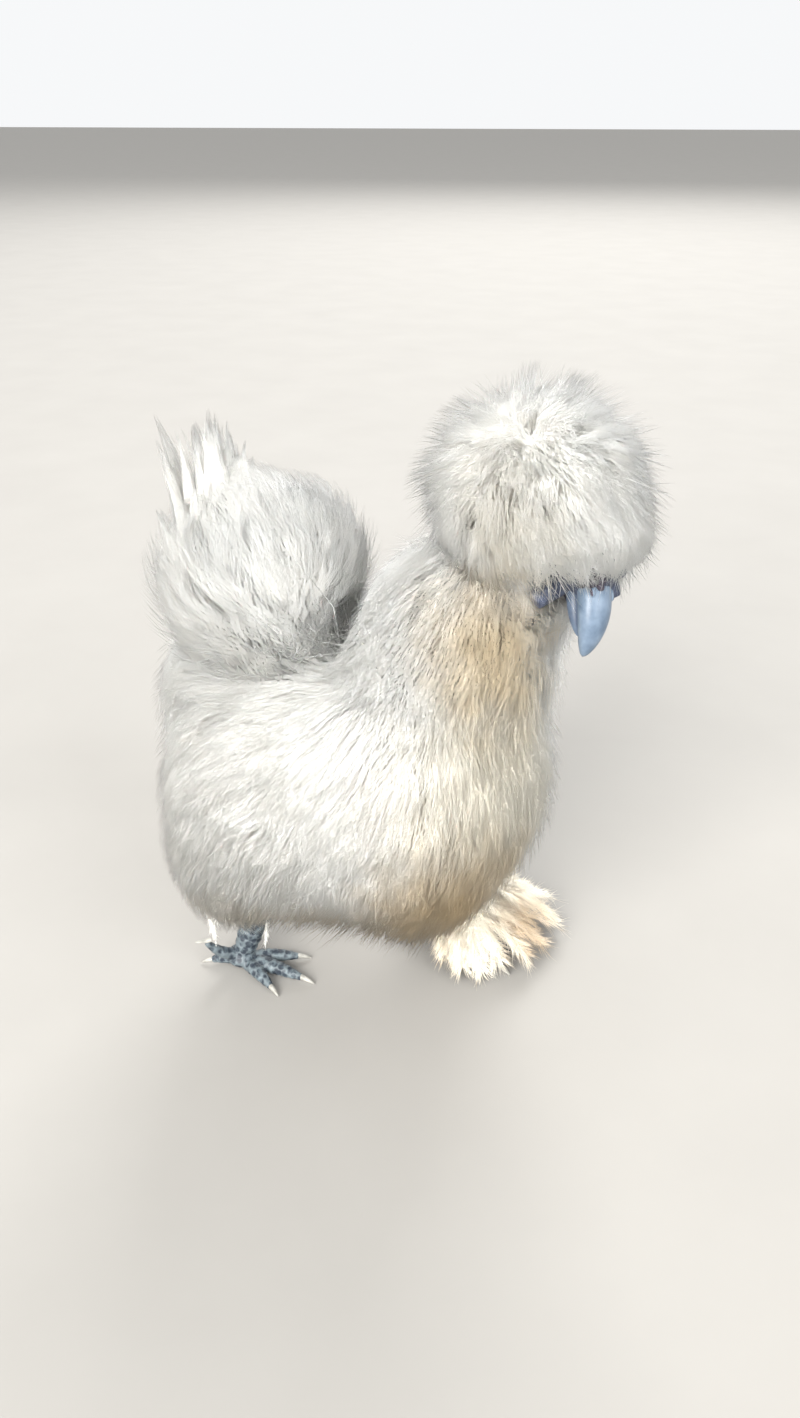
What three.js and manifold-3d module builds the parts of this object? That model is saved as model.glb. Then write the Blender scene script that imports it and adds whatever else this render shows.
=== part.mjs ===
// A silkie hen, life size and still: it stands in mid step, its head bent down and turned to its right.
// Millimetres. +X is the way the body faces, +Y is its left, +Z is up and the floor is z = 0.

import * as THREE from "three";
import { mergeVertices } from "three/addons/utils/BufferGeometryUtils.js";
import Module from "manifold-3d";

const wasm = await Module();
wasm.setup();

// Driving dimensions: millimetres, and degrees for turns
const GAP = 0.3; // between nodes that touch
const PLUMAGE_GAP = 0.45; // between two plumed nodes, measured at the flat sides of their locks
const LEFT_FOOT = [46, 25]; // in front
const RIGHT_FOOT = [-58, -26]; // behind
const HEAD_AT = [101.4, -4.2, 246];
const HEAD_DOWN = 50; // how far the beak points down
const HEAD_RIGHT = 65; // how far the head is turned to its right
const SKULL = [19, 14, 15];
const BEAK_LENGTH = 28;
const EYE_RADIUS = 4.3;
const SHANK_RADIUS = 5.4;
const MIDDLE_TOE = 36;
const CLAW_LENGTH = 11;
const BODY_COAT = 14; // how far the tips of the locks stand off the core, on the body
const NECK_COAT = 15;
const CREST_COAT = 16;
const TAIL_COAT = 19;
const WING_COAT = 8;
const THIGH_COAT = 11;
const LOCK_SINK = 4; // how deep a root is set in its core
const LOCK_THICK = 2; // at its root
const LOCK_FILL = 0.84; // the share of its row's room that a lock takes up
const LOCK_HALF = 0.43; // half a lock's width, as a share of the width it is given
const LID_TUBE = 1.2; // how thick an eyelid's rim is
const LEG_ROOM = 1.4; // how much wider than the shank the room is that the plumage leaves round it
const BOOT_WIDTH = 17; // of a feather on the shank
const BOOT_CLEAR = 6; // its tip's height over the floor

const rad = THREE.MathUtils.degToRad;
const vec = (x, y, z) => new THREE.Vector3(x, y, z);
const UP = vec(0, 0, 1);
const mix = ([from, to], way) => from + (to - from) * way;
const BOTH = [
  { side: "left", hand: 1, footAt: LEFT_FOOT },
  { side: "right", hand: -1, footAt: RIGHT_FOOT },
];

// A closed mesh as a solid, moved into the frame given.
function solid(geometry, frame) {
  const g = geometry.clone();
  g.deleteAttribute("normal");
  g.deleteAttribute("uv");
  if (frame) {
    g.applyMatrix4(frame);
  }
  const merged = mergeVertices(g, 1e-4);
  return new wasm.Manifold(
    new wasm.Mesh({
      numProp: 3,
      vertProperties: new Float32Array(merged.attributes.position.array),
      triVerts: new Uint32Array(merged.index.array),
    }),
  );
}

function largest(joined) {
  return joined.decompose().reduce((a, b) => (a.volume() > b.volume() ? a : b));
}

// One closed body out of several pieces.
function fuse(geometries, frame) {
  return largest(wasm.Manifold.union(geometries.map((g) => solid(g, frame))));
}

function cutClear(body, neighbours) {
  return largest(body.subtract(wasm.Manifold.union(neighbours)));
}

// A ball drawn out along a path, so that it is closed at both ends. Its half width and half thickness
// are functions of the way along, from 0 at the root to 1 at the tip. A section may be given instead: it
// tells how far a point of a ring lies across and inwards.
function drawn({ at, wide, thick = wide, section, up = () => UP, sides = 8, steps = 6, grow = 0 }) {
  const g = new THREE.SphereGeometry(1, sides, steps).rotateY(sides === 3 ? Math.PI / 6 : 0);
  const oval = (x, z, s) => [(wide(s) + grow) * x, (thick(s) + grow) * z];
  const p = g.attributes.position;
  for (let i = 0; i < p.count; i++) {
    const s = Math.acos(THREE.MathUtils.clamp(-p.getY(i), -1, 1)) / Math.PI;
    const ahead = at(Math.min(s + 0.01, 1)).sub(at(Math.max(s - 0.01, 0))).normalize();
    const side = up(s).clone().cross(ahead).normalize();
    const inwards = side.clone().cross(ahead);
    const ring = Math.hypot(p.getX(i), p.getZ(i));
    const place = at(s);
    if (ring < 1e-6) {
      place.addScaledVector(ahead, s < 0.5 ? -grow : grow);
    } else {
      const [across, deep] = (section ?? oval)(p.getX(i) / ring, p.getZ(i) / ring, s);
      place.addScaledVector(side, across).addScaledVector(inwards, deep);
    }
    p.setXYZ(i, place.x, place.y, place.z);
  }
  return g;
}

function ball(at, radii, grow = 0, sides = 12, rings = 8) {
  const g = new THREE.SphereGeometry(1, sides, rings).rotateX(Math.PI / 2);
  return g.scale(...radii.map((r) => r + grow)).translate(...at);
}

// Rounded at both ends, full between them.
const rounded = (s) => Math.sin(Math.PI * THREE.MathUtils.clamp(s, 0, 1)) ** 0.5;

// An ellipsoid out to the tips of the plumage, over a coat of the depth given. It leans forwards by an
// angle.
class Form {
  constructor(at, radii, coat, lean = 0) {
    this.at = vec(...at);
    this.radii = vec(...radii);
    this.coat = coat;
    this.upright = new THREE.Quaternion().setFromAxisAngle(vec(0, 1, 0), rad(-lean));
  }
  // How far along the ray its surface is left, a share of the coat down. Zero where the ray misses it.
  exit(from, ray, share, grow) {
    const r = this.radii.clone().addScalar(grow - share * this.coat);
    const q = from.clone().sub(this.at).applyQuaternion(this.upright).divide(r);
    const v = ray.clone().applyQuaternion(this.upright).divide(r);
    const b = q.dot(v);
    const free = b * b - v.lengthSq() * (q.lengthSq() - 1);
    return free > 0 ? Math.max((Math.sqrt(free) - b) / v.lengthSq(), 0) : 0;
  }
}

// Seeded draws, each within the spread either way of nought.
function draws(seed) {
  const span = 2 ** 32;
  let state = seed;
  return (spread) => {
    state = (state * 1664525 + 1013904223) % span;
    return spread * ((2 * state) / span - 1);
  };
}

// A lock's outline, flat and tapered: widest a third of the way along, pointed at the tip
const leaf = (s) => 2.4 * (1 - s) * Math.sqrt(s + 0.05);

// A tail feather's outline: full to near its blunt tip
const vane = (s) => Math.sqrt(Math.sin(Math.PI * mix([0.12, 0.9], s)));

// A flat lock has three sides: two that meet in a low ridge outside, and a flat one inside. In a grown
// copy the inner side has a ridge as well.
function flatLock({ at, up, width, outline = leaf, grow }) {
  const half = (s) => LOCK_HALF * width(s) * outline(s) + 2 * grow;
  const ridge = (s) => LOCK_THICK * (1 - 0.6 * s) + grow;
  return drawn({
    at,
    up,
    section: (x, z, s) => [Math.round(x) * half(s), z < 0 ? z * ridge(s) : z * grow],
    sides: grow > 0 ? 4 : 3,
    steps: 4,
    grow,
  });
}

// A plumed part: a core, which is smooth round a few forms, and locks in staggered rows. They run from
// the source, where the part begins, over the surface to the opposite pole.
class Plumed {
  constructor({ middle, source, forms, rings = 12, sides = 20, plumage }) {
    this.middle = vec(...middle);
    this.turn = new THREE.Quaternion().setFromUnitVectors(vec(0, 1, 0), vec(...source).normalize());
    this.forms = forms;
    this.rings = rings;
    this.sides = sides;
    this.plumage = plumage;
  }
  // How far the forms reach along a ray from the middle, a share of the coat down
  reach(ray, share, grow = 0) {
    const blend = 4; // millimetres that soften the crease between two forms
    const exits = this.forms.map((form) => form.exit(this.middle, ray, share, grow));
    return blend * Math.log(exits.reduce((total, exit) => total + Math.expm1(exit / blend), 1));
  }
  holds(place, share) {
    const ray = place.clone().sub(this.middle);
    const far = ray.length();
    return far < this.reach(ray.divideScalar(far), share);
  }
  // A point by its angle from the source, the angle around and the share of the coat above it
  at(polar, around, share) {
    const ray = new THREE.Vector3().setFromSphericalCoords(1, polar, around).applyQuaternion(this.turn);
    return this.middle.clone().addScaledVector(ray, this.reach(ray, share));
  }
  outward(polar, around) {
    const step = 0.03;
    const down = this.at(polar + step, around, 0.5).sub(this.at(polar - step, around, 0.5));
    const across = this.at(polar, around + step, 0.5).sub(this.at(polar, around - step, 0.5));
    return down.cross(across).normalize();
  }
  girth(polar) {
    const steps = 24;
    let length = 0;
    for (let i = 0; i < steps; i++) {
      const from = this.at(polar, (2 * Math.PI * i) / steps, 0.5);
      length += from.distanceTo(this.at(polar, (2 * Math.PI * (i + 1)) / steps, 0.5));
    }
    return length;
  }
  core(grow) {
    const g = new THREE.SphereGeometry(1, this.sides, this.rings);
    const p = g.attributes.position;
    for (let i = 0; i < p.count; i++) {
      const ray = vec(p.getX(i), p.getY(i), p.getZ(i)).normalize().applyQuaternion(this.turn);
      const place = this.middle.clone().addScaledVector(ray, this.reach(ray, 1, grow));
      p.setXYZ(i, place.x, place.y, place.z);
    }
    return g;
  }
  // A lock leaves the core, bends over and ends at the tips of the coat.
  lock({ polar, around, length, width, lift, twist, grow }) {
    const step = 0.05;
    const room = this.at(polar, around, 0).distanceTo(this.at(polar, around, 1));
    const rate = this.at(polar + step, around, 0.5).distanceTo(this.at(polar, around, 0.5)) / step;
    const span = Math.sqrt(Math.max(length ** 2 - room ** 2, 0)) / rate;
    const sunk = LOCK_SINK / room;
    const angle = (s) => Math.min(polar + span * s ** 1.2, Math.PI - 0.02);
    const share = (s) => 1 + sunk - (lift + sunk) * Math.sin((Math.PI * s) / 2);
    return flatLock({
      at: (s) => this.at(angle(s), around + twist * s, share(s)),
      up: (s) => this.outward(angle(s), around + twist * s),
      width: (s) => width * Math.min(Math.sin(angle(s)) / Math.sin(polar), 1.1),
      grow,
    });
  }
  // The rows, from their first to their last angle from the source, with the width and length of a lock
  // in the first row and in the last. A root in a bare place is left out.
  locks(grow) {
    const { from, to, rows, width, length, seed, bare } = this.plumage;
    const draw = draws(seed);
    const pieces = [];
    for (let row = 0; row < rows; row++) {
      const way = row / (rows - 1);
      const polar = rad(mix([from, to], way));
      const girth = this.girth(polar);
      const count = Math.max(Math.round(girth / mix(width, way)), 3);
      for (let i = 0; i < count; i++) {
        const around = (2 * Math.PI * (i + (row % 2) / 2 + draw(0.1))) / count;
        const shape = {
          polar: polar + draw(0.03),
          around,
          length: mix(length, way) * (1 + draw(0.14)),
          width: (LOCK_FILL * girth) / count,
          lift: 1.06 + draw(0.06),
          twist: draw(0.08),
          grow,
        };
        if (!bare(this.at(polar, around, 1))) {
          pieces.push(this.lock(shape));
        }
      }
    }
    return pieces;
  }
  solid(grow, feathers = () => []) {
    return fuse([this.core(grow), ...this.locks(grow), ...feathers(grow)]);
  }
  // Its solid with the gap round it, for cutting a neighbour clear
  withRoom(feathers) {
    return this.solid(0, feathers).add(this.solid(PLUMAGE_GAP, feathers));
  }
}

const bird = new THREE.Group();
const head = new THREE.Group();
head.position.set(...HEAD_AT);
head.rotation.set(0, rad(HEAD_DOWN), -rad(HEAD_RIGHT), "ZYX");
head.updateMatrix();
bird.add(head);

const legs = BOTH.map(({ side, hand, footAt }) => {
  const leg = new THREE.Group();
  leg.position.set(...footAt, 0);
  leg.rotation.z = rad(hand * 4);
  leg.updateMatrix();
  bird.add(leg);
  return { side, hand, leg };
});

const colours = {
  plumage: new THREE.MeshStandardMaterial({ color: 0xeeece2, roughness: 0.95 }),
  skin: new THREE.MeshStandardMaterial({ color: 0x3c3f4d, roughness: 0.7 }),
  horn: new THREE.MeshStandardMaterial({ color: 0x7f98a8, roughness: 0.45 }),
  ear: new THREE.MeshStandardMaterial({ color: 0x5f9aa6, roughness: 0.6 }),
  comb: new THREE.MeshStandardMaterial({ color: 0x4a3440, roughness: 0.6 }),
  eye: new THREE.MeshStandardMaterial({ color: 0x0b0908, roughness: 0.08 }),
  shank: new THREE.MeshStandardMaterial({ color: 0x39424c, roughness: 0.6 }),
  claw: new THREE.MeshStandardMaterial({ color: 0xa8a9a6, roughness: 0.4 }),
};

function node(group, name, body, material) {
  const { vertProperties, triVerts } = body.getMesh();
  const g = new THREE.BufferGeometry();
  g.setAttribute("position", new THREE.BufferAttribute(vertProperties, 3));
  g.setIndex(new THREE.BufferAttribute(triVerts, 1));
  const mesh = new THREE.Mesh(g, material);
  mesh.name = name;
  group.add(mesh);
}

// The head, in its own frame: +X out along the beak, +Y to its left, +Z to the crown

const EYE_AT = (hand) => [7, hand * 10.2, 3.6];

function eye(hand, grow, frame) {
  const r = EYE_RADIUS;
  return solid(ball(EYE_AT(hand), [r, r * 0.92, r], grow, 10, 8), frame);
}

// Back from the skull, into the neck
const nape = (grow) =>
  drawn({ at: (s) => vec(-2 - 22 * s, 0, -4 - 10 * s), wide: () => 11, grow, steps: 4, sides: 8 });

function skull(grow, frame) {
  const lid = new THREE.TorusGeometry(EYE_RADIUS + GAP, LID_TUBE + grow, 3, 10).rotateX(Math.PI / 2);
  const lids = BOTH.map(({ hand }) => lid.clone().scale(1.18, 0.9, 1).translate(7, hand * 12.6, 3.6));
  return fuse(
    [
      ball([0, 0, 0], SKULL, grow, 14, 9),
      ball([6, 0, -6], [13, 10.5, 9.5], grow, 10, 7), // cheeks and jaw
      ball([11, 0, 0], [9, 8.5, 7.5], grow, 8, 5), // the root of the beak
      nape(grow),
      ...lids,
    ],
    frame,
  );
}

function headSkin() {
  const room = EYE_RADIUS + 2 * GAP;
  const sockets = BOTH.map(({ hand }) => solid(ball(EYE_AT(hand), [room, room, room], 0, 7, 5)));
  return cutClear(skull(0), sockets);
}

// Upper and lower beak: a path that hooks down to its tip, deep and wide at its root
const culmen = (s) => vec(13 + BEAK_LENGTH * s, 0, 1.5 - 9 * s ** 2.2);
const taper = (s) => Math.sqrt(Math.max(1 - s, 0)) * rounded(0.25 + s * 0.3);

function beakUpper(grow, frame) {
  return solid(
    drawn({
      at: culmen,
      wide: (s) => 8.6 * taper(s),
      thick: (s) => 6 * taper(s),
      sides: 10,
      steps: 8,
      grow,
    }),
    frame,
  );
}

function beakLower(grow, frame) {
  return solid(
    drawn({
      at: (s) => vec(12 + (BEAK_LENGTH - 6) * s, 0, -5 - 2.5 * s),
      wide: (s) => 6.2 * taper(s),
      thick: (s) => 3.8 * taper(s),
      sides: 8,
      steps: 6,
      grow,
    }),
    frame,
  );
}

function nostrils() {
  return BOTH.map(({ hand }) => solid(ball([20.5, hand * 5.6, 2.2], [2.2, 1.6, 0.9], 0, 8, 4)));
}

// The comb: a low round cushion of bulbs on the forehead
function comb(grow, frame) {
  const bulbs = [];
  const across = 4;
  for (let i = 0; i < across; i++) {
    const round = (2 * Math.PI * i) / across;
    bulbs.push(ball([13 + 2.9 * Math.cos(round), 3.3 * Math.sin(round), 9.4], [2.6, 2.6, 2.6], grow, 7, 5));
  }
  bulbs.push(ball([13, 0, 10.4], [3, 3, 2.8], grow, 7, 5));
  return fuse(bulbs, frame);
}

function wattle(hand, grow, frame) {
  return fuse(
    [
      ball([13, hand * 4.6, -14], [3.6, 1.8, 5.2], grow, 8, 6),
      ball([11.5, hand * 4.8, -17], [2.6, 1.6, 3], grow, 8, 5),
    ],
    frame,
  );
}

function earlobe(hand, grow, frame) {
  return solid(ball([-2, hand * 13, -7.5], [4.2, 2.4, 5], grow, 10, 6), frame);
}

// The room that the plumage leaves round the head: a little more than the head and its parts fill
const headRoom = (frame) => {
  const skinRoom = fuse(
    [
      nape(GAP),
      ball([0, 0, 0], SKULL, 1.2, 10, 7),
      ball([7, 0, 3.5], [13, 17, 10.8], 0, 10, 6), // round the eyes
      ball([13, 0, 9.5], [7.4, 7.4, 5.4], 0, 8, 5), // round the comb
      ball([6, 0, -6], [14, 12, 10.8], 0, 8, 6),
      ball([13, 0, -2], [9.4, 10.4, 9.9], 0, 8, 5), // round the root of the beak
    ],
    frame,
  );
  const small = BOTH.flatMap(({ hand }) => [wattle(hand, GAP, frame), earlobe(hand, GAP, frame)]);
  return wasm.Manifold.union([skinRoom, beakUpper(GAP, frame), beakLower(GAP, frame), ...small]);
};

node(head, "head", headSkin(), colours.skin);
node(head, "beak_upper", cutClear(beakUpper(0), [skull(GAP), ...nostrils()]), colours.horn);
node(head, "beak_lower", cutClear(beakLower(0), [skull(GAP), beakUpper(GAP)]), colours.horn);
node(head, "comb", cutClear(comb(0), [skull(GAP), beakUpper(GAP)]), colours.comb);
for (const { side, hand } of BOTH) {
  node(head, `eye_${side}`, eye(hand, 0), colours.eye);
  node(head, `wattle_${side}`, cutClear(wattle(hand, 0), [skull(GAP), beakLower(GAP)]), colours.comb);
  node(head, `earlobe_${side}`, cutClear(earlobe(hand, 0), [skull(GAP)]), colours.ear);
}

// The legs, each in its own frame: origin on the floor under the ball of the foot, +X out along the
// middle toe. Each has five toes, as the breed does.

const TOES = [
  { name: "middle", length: 1, spread: 0, thick: 1 },
  { name: "inner", length: 0.76, spread: 27, thick: 0.92 },
  { name: "outer", length: 0.84, spread: -27, thick: 0.92 },
  { name: "hind", length: 0.46, spread: 155, thick: 0.85 },
  { name: "fifth", length: 0.52, spread: 128, thick: 0.8, rise: 0.8 },
];

// A toe's path from the ball of the foot. The fifth curls up clear of the floor.
function toePath(toe, hand) {
  const reach = MIDDLE_TOE * toe.length;
  const round = rad(toe.spread * hand);
  const rise = (toe.rise ?? 0) * reach;
  const knuckles = 1.6;
  return (s) => {
    const lift = 2.6 + (rise > 0 ? 5 + rise * s * s : knuckles * Math.sin(Math.PI * s));
    return vec(Math.cos(round) * reach * s, Math.sin(round) * reach * s, lift);
  };
}

function toeEnd(toe, hand) {
  const at = toePath(toe, hand);
  return { end: at(1), ahead: at(1).sub(at(0.9)).setZ(0).normalize() };
}

function claw(toe, hand, grow, frame) {
  const { end, ahead } = toeEnd(toe, hand);
  const length = CLAW_LENGTH * (0.6 + 0.4 * toe.length);
  const tip = toe.rise ? 2 : -2.4;
  return solid(
    drawn({
      at: (s) => end.clone().addScaledVector(ahead, length * (s - 0.35)).add(vec(0, 0, 0.6 + tip * s * s)),
      wide: (s) => 1.9 * taper(s) * toe.thick,
      thick: (s) => 1.8 * taper(s) * toe.thick,
      sides: 6,
      steps: 4,
      grow,
    }),
    frame,
  );
}

const belowFloor = (frame) => solid(new THREE.BoxGeometry(400, 400, 40).translate(0, 0, -20), frame);

// Scutes: plates one after another along a toe or shank. Each widens slowly and ends in a steep edge.
// Every second ring of the mesh is such an edge.
const scuteSteps = (plates) => 2 * plates + 2;
const isEdge = (s, plates) => Math.round(s * scuteSteps(plates)) % 2 === 1;

function scuted({ at, wide, plates, up, sides, grow }) {
  const steps = scuteSteps(plates);
  const delay = 0.6 / steps;
  return drawn({
    at: (s) => at(Math.min(s + (isEdge(s, plates) ? delay : 0), 1)),
    wide: (s) => wide(s) * (isEdge(s, plates) ? 1.06 : 0.93),
    up,
    sides,
    steps,
    grow,
  });
}

function foot(hand, grow, frame) {
  const pieces = TOES.map((toe) =>
    scuted({
      at: toePath(toe, hand),
      wide: (s) => 4 * toe.thick * (1 - 0.35 * s) * rounded(0.12 + 0.8 * s),
      plates: Math.round(4 * toe.length),
      sides: 6,
      grow,
    }),
  );
  pieces.push(ball([0, 0, 5.2], [8.5, 7.5, 6.2], grow, 8, 6));
  return cutClear(fuse(pieces, frame), [belowFloor(frame)]);
}

// The shank leans from the ball of the foot up to the hock.
const HOCKS = { left: [-20, -1, 56], right: [15, 10, 56] };

// Feathers fan from the outer side of each shank and fall to just above the floor. Each has the angle
// that it is turned outwards from the middle toe, its length and its root's place on the shank.
const BOOTS = {
  left: [
    [8, 52, 0.38],
    [28, 54, 0.3],
    [50, 48, 0.38],
    [74, 42, 0.3],
    [100, 36, 0.38],
  ],
  right: [
    [112, 22, 0.3],
    [136, 27, 0.38],
    [160, 27, 0.3],
  ],
};

function shank(side, grow, frame) {
  const hand = side === "left" ? 1 : -1;
  const top = vec(...HOCKS[side]);
  const bottom = vec(0, 0, 5);
  const at = (s) => bottom.clone().lerp(top, s);
  const wide = (s) => SHANK_RADIUS * (1 + 0.25 * Math.abs(2 * s - 1) ** 3) * rounded(0.1 + 0.8 * s);
  const boot = BOOTS[side].map(([round, length, from]) => {
    const out = vec(Math.cos(rad(round)), hand * Math.sin(rad(round)), 0);
    const root = at(from);
    const fall = root.z - BOOT_CLEAR;
    return flatLock({
      at: (s) => root.clone().addScaledVector(out, length * s).add(vec(0, 0, -fall * s ** 1.7)),
      up: () => UP,
      width: () => BOOT_WIDTH,
      grow,
    });
  });
  return fuse([scuted({ at, wide, plates: 5, up: () => vec(1, 0, 0), sides: 8, grow }), ...boot], frame);
}

// The room that the plumage leaves round a leg: a plain rod, longer and a little wider than the shank
function legRoom(side, frame) {
  const top = vec(...HOCKS[side]);
  const at = (s) => vec(0, 0, 5).lerp(top, 1.3 * s - 0.15);
  const wide = () => SHANK_RADIUS * LEG_ROOM;
  return solid(drawn({ at, wide, up: () => vec(1, 0, 0), sides: 8, steps: 6 }), frame);
}

for (const { side, hand, leg } of legs) {
  const claws = TOES.map((toe) => claw(toe, hand, GAP));
  node(leg, `foot_${side}`, cutClear(foot(hand, 0), claws), colours.shank);
  node(leg, `shank_${side}`, cutClear(shank(side, 0), [foot(hand, GAP), ...claws]), colours.shank);
  for (const toe of TOES) {
    const nail = cutClear(claw(toe, hand, 0), [belowFloor()]);
    node(leg, `claw_${toe.name}_${side}`, nail, colours.claw);
  }
}

// The plumed parts, in the bird's own frame

const torso = new Plumed({
  middle: [2, 0, 118],
  source: [0.75, 0, 0.66],
  forms: [
    new Form([33, 0, 124], [62, 70, 79], BODY_COAT, 7), // breast
    new Form([-28, 0, 114], [66, 74, 73], BODY_COAT), // rump
    new Form([-52, 0, 160], [42, 48, 34], BODY_COAT), // saddle
  ],
  plumage: {
    from: 24,
    to: 150,
    rows: 9,
    width: [24.5, 27.5],
    length: [46, 42],
    seed: 11,
    bare: (place) =>
      neck.holds(place, 0.4) ||
      tail.holds(place, 1.5) ||
      BOTH.some(({ side }) => wings[side].holds(place, 1) || thighs[side].holds(place, 0.6)),
  },
});

const neck = new Plumed({
  middle: [54, 0, 196],
  source: [0.5, 0, 0.87],
  forms: [
    new Form([47, 0, 192], [48, 46, 62], NECK_COAT, 20),
    new Form([72, 0, 222], [30, 28, 26], NECK_COAT),
  ],
  plumage: {
    from: 34,
    to: 112,
    rows: 5,
    width: [26, 28.5],
    length: [38, 44],
    seed: 23,
    bare: (place) => torso.holds(place, 0.7) || crest.holds(place, 0.5),
  },
});

// The crest grows from the crown, falls all round and leaves the face bare below the eyes.
const crown = vec(-4, 0, 9).applyMatrix4(head.matrix).toArray();
const crest = new Plumed({
  middle: [84, 3, 262],
  source: [0.3, -0.45, 0.84],
  forms: [new Form([79, 6, 262], [47, 47, 45.5], CREST_COAT), new Form(crown, [23, 20, 16], 5)],
  plumage: {
    from: 7,
    to: 126,
    rows: 7,
    width: [18.5, 20.5],
    length: [31, 32],
    seed: 37,
    bare: (place) => {
      const onHead = head.worldToLocal(place.clone());
      return neck.holds(place, 0.6) || (onHead.x > 2 && onHead.z < 6);
    },
  },
});

const tail = new Plumed({
  middle: [-44, 0, 208],
  source: [0.3, 0, -0.95],
  forms: [
    new Form([-44, 0, 210], [49, 46, 46], TAIL_COAT),
    new Form([-45, 0, 184], [36, 35, 32], 5), // where it joins the saddle
  ],
  plumage: {
    from: 42,
    to: 98,
    rows: 4,
    width: [22, 23],
    length: [30, 28],
    seed: 41,
    bare: (place) => torso.holds(place, 0.7),
  },
});

// The tail feathers stand up out of the cushion in three tiers, fanned round a line that leans back.
const TIERS = [
  { count: 3, length: 72, out: 5, tilt: 5 },
  { count: 6, length: 59, out: 10, tilt: 16 },
  { count: 7, length: 46, out: 18, tilt: 28 },
];

function tailFeathers(grow) {
  const axis = vec(-0.06, 0, 1).normalize();
  const root = vec(-43, 0, 213);
  return TIERS.flatMap(({ count, length, out, tilt }, tier) =>
    Array.from({ length: count }, (_, i) => {
      const around = (2 * Math.PI * (i + tier / 2)) / count;
      const side = vec(Math.cos(around), Math.sin(around), 0);
      const width = (s) => (2 * Math.PI * (out + 0.9 * length * s * Math.sin(rad(tilt)))) / count;
      const at = (s) => {
        const way = length * (1 - (1 - s) ** 1.6);
        const lean = rad(tilt) * (0.6 + 0.7 * s);
        const spot = root.clone().addScaledVector(side, out + way * Math.sin(lean));
        return spot.addScaledVector(axis, way * Math.cos(lean));
      };
      return flatLock({ at, up: () => side, width, outline: vane, grow });
    }),
  );
}

const wings = Object.fromEntries(
  BOTH.map(({ side, hand }) => [
    side,
    new Plumed({
      middle: [-8, hand * 24, 131],
      source: [1, 0, 0.3],
      forms: [new Form([-8, hand * 24, 131], [60, 57, 43], WING_COAT, 8)],
      rings: 10,
      sides: 16,
      plumage: {
        from: 52,
        to: 128,
        rows: 4,
        width: [20, 15],
        length: [34, 42],
        seed: 53,
        bare: (place) => torso.holds(place, 0.5),
      },
    }),
  ]),
);

const THIGHS = { left: [34, 34, 80, -10], right: [-48, -34, 84, 20] };
const thighs = Object.fromEntries(
  BOTH.map(({ side, hand }) => {
    const [x, y, z, lean] = THIGHS[side];
    const thigh = new Plumed({
      middle: [x, y, z],
      source: [0, 0, 1],
      forms: [new Form([x, y, z], [34, 27, 43], THIGH_COAT, lean)],
      rings: 8,
      sides: 14,
      plumage: {
        from: 62,
        to: 118,
        rows: 3,
        width: [18, 16],
        length: [32, 32],
        seed: 67 + hand,
        bare: (place) => torso.holds(place, 0.6),
      },
    });
    return [side, thigh];
  }),
);

head.updateMatrixWorld(true);
const room = headRoom(head.matrix);
const legRooms = legs.map(({ side, leg }) => legRoom(side, leg.matrix));
const torsoClear = torso.withRoom();
const neckClear = neck.withRoom();
const tailClear = tail.withRoom(tailFeathers);

node(bird, "torso", cutClear(torso.solid(0), legRooms), colours.plumage);
node(bird, "neck", cutClear(neck.solid(0), [torsoClear, room]), colours.plumage);
node(bird, "crest", cutClear(crest.solid(0), [neckClear, room]), colours.plumage);
node(bird, "tail", cutClear(tail.solid(0, tailFeathers), [torsoClear, neckClear]), colours.plumage);
for (const { side } of BOTH) {
  const around = [torsoClear, neckClear, tailClear];
  node(bird, `wing_${side}`, cutClear(wings[side].solid(0), around), colours.plumage);
  const beside = [torsoClear, wings[side].withRoom(), ...legRooms];
  node(bird, `thigh_${side}`, cutClear(thighs[side].solid(0), beside), colours.plumage);
}

// The origin is on the floor, under the middle of the whole bird.
const box = new THREE.Box3().setFromObject(bird);
bird.position.x = -(box.min.x + box.max.x) / 2;
bird.position.y = -(box.min.y + box.max.y) / 2;

export default bird;
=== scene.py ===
"""A silkie hen, life size and still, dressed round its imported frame: one skin, a coat of fine strands in
tufts, soft feathers on the tail and the shanks, a slate beak, and scuted legs with claws.

Lengths of the bird are millimetres in its own frame: +X the way the body faces, +Y its left, +Z up, and
the floor at z = 0. They become metres in the frame of the CAD when a mesh is made."""

import math

import bmesh
import bpy
import numpy as np
from mathutils import Matrix, Vector


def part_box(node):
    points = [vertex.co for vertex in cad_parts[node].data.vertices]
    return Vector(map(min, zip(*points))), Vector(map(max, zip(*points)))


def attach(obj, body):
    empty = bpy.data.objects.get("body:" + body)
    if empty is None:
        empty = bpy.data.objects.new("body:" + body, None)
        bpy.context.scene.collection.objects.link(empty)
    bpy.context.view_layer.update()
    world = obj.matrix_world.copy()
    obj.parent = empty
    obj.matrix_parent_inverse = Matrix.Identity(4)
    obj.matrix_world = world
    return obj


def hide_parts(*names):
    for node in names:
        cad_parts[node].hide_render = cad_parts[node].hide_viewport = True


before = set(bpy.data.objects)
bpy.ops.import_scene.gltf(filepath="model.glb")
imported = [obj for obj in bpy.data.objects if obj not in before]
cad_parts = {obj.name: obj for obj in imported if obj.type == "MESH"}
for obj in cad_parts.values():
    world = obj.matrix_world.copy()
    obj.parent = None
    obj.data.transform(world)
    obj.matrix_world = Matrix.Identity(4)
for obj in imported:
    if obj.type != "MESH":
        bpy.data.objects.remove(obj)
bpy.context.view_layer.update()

# Sizes and places of the bird, the same as in its solids

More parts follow.
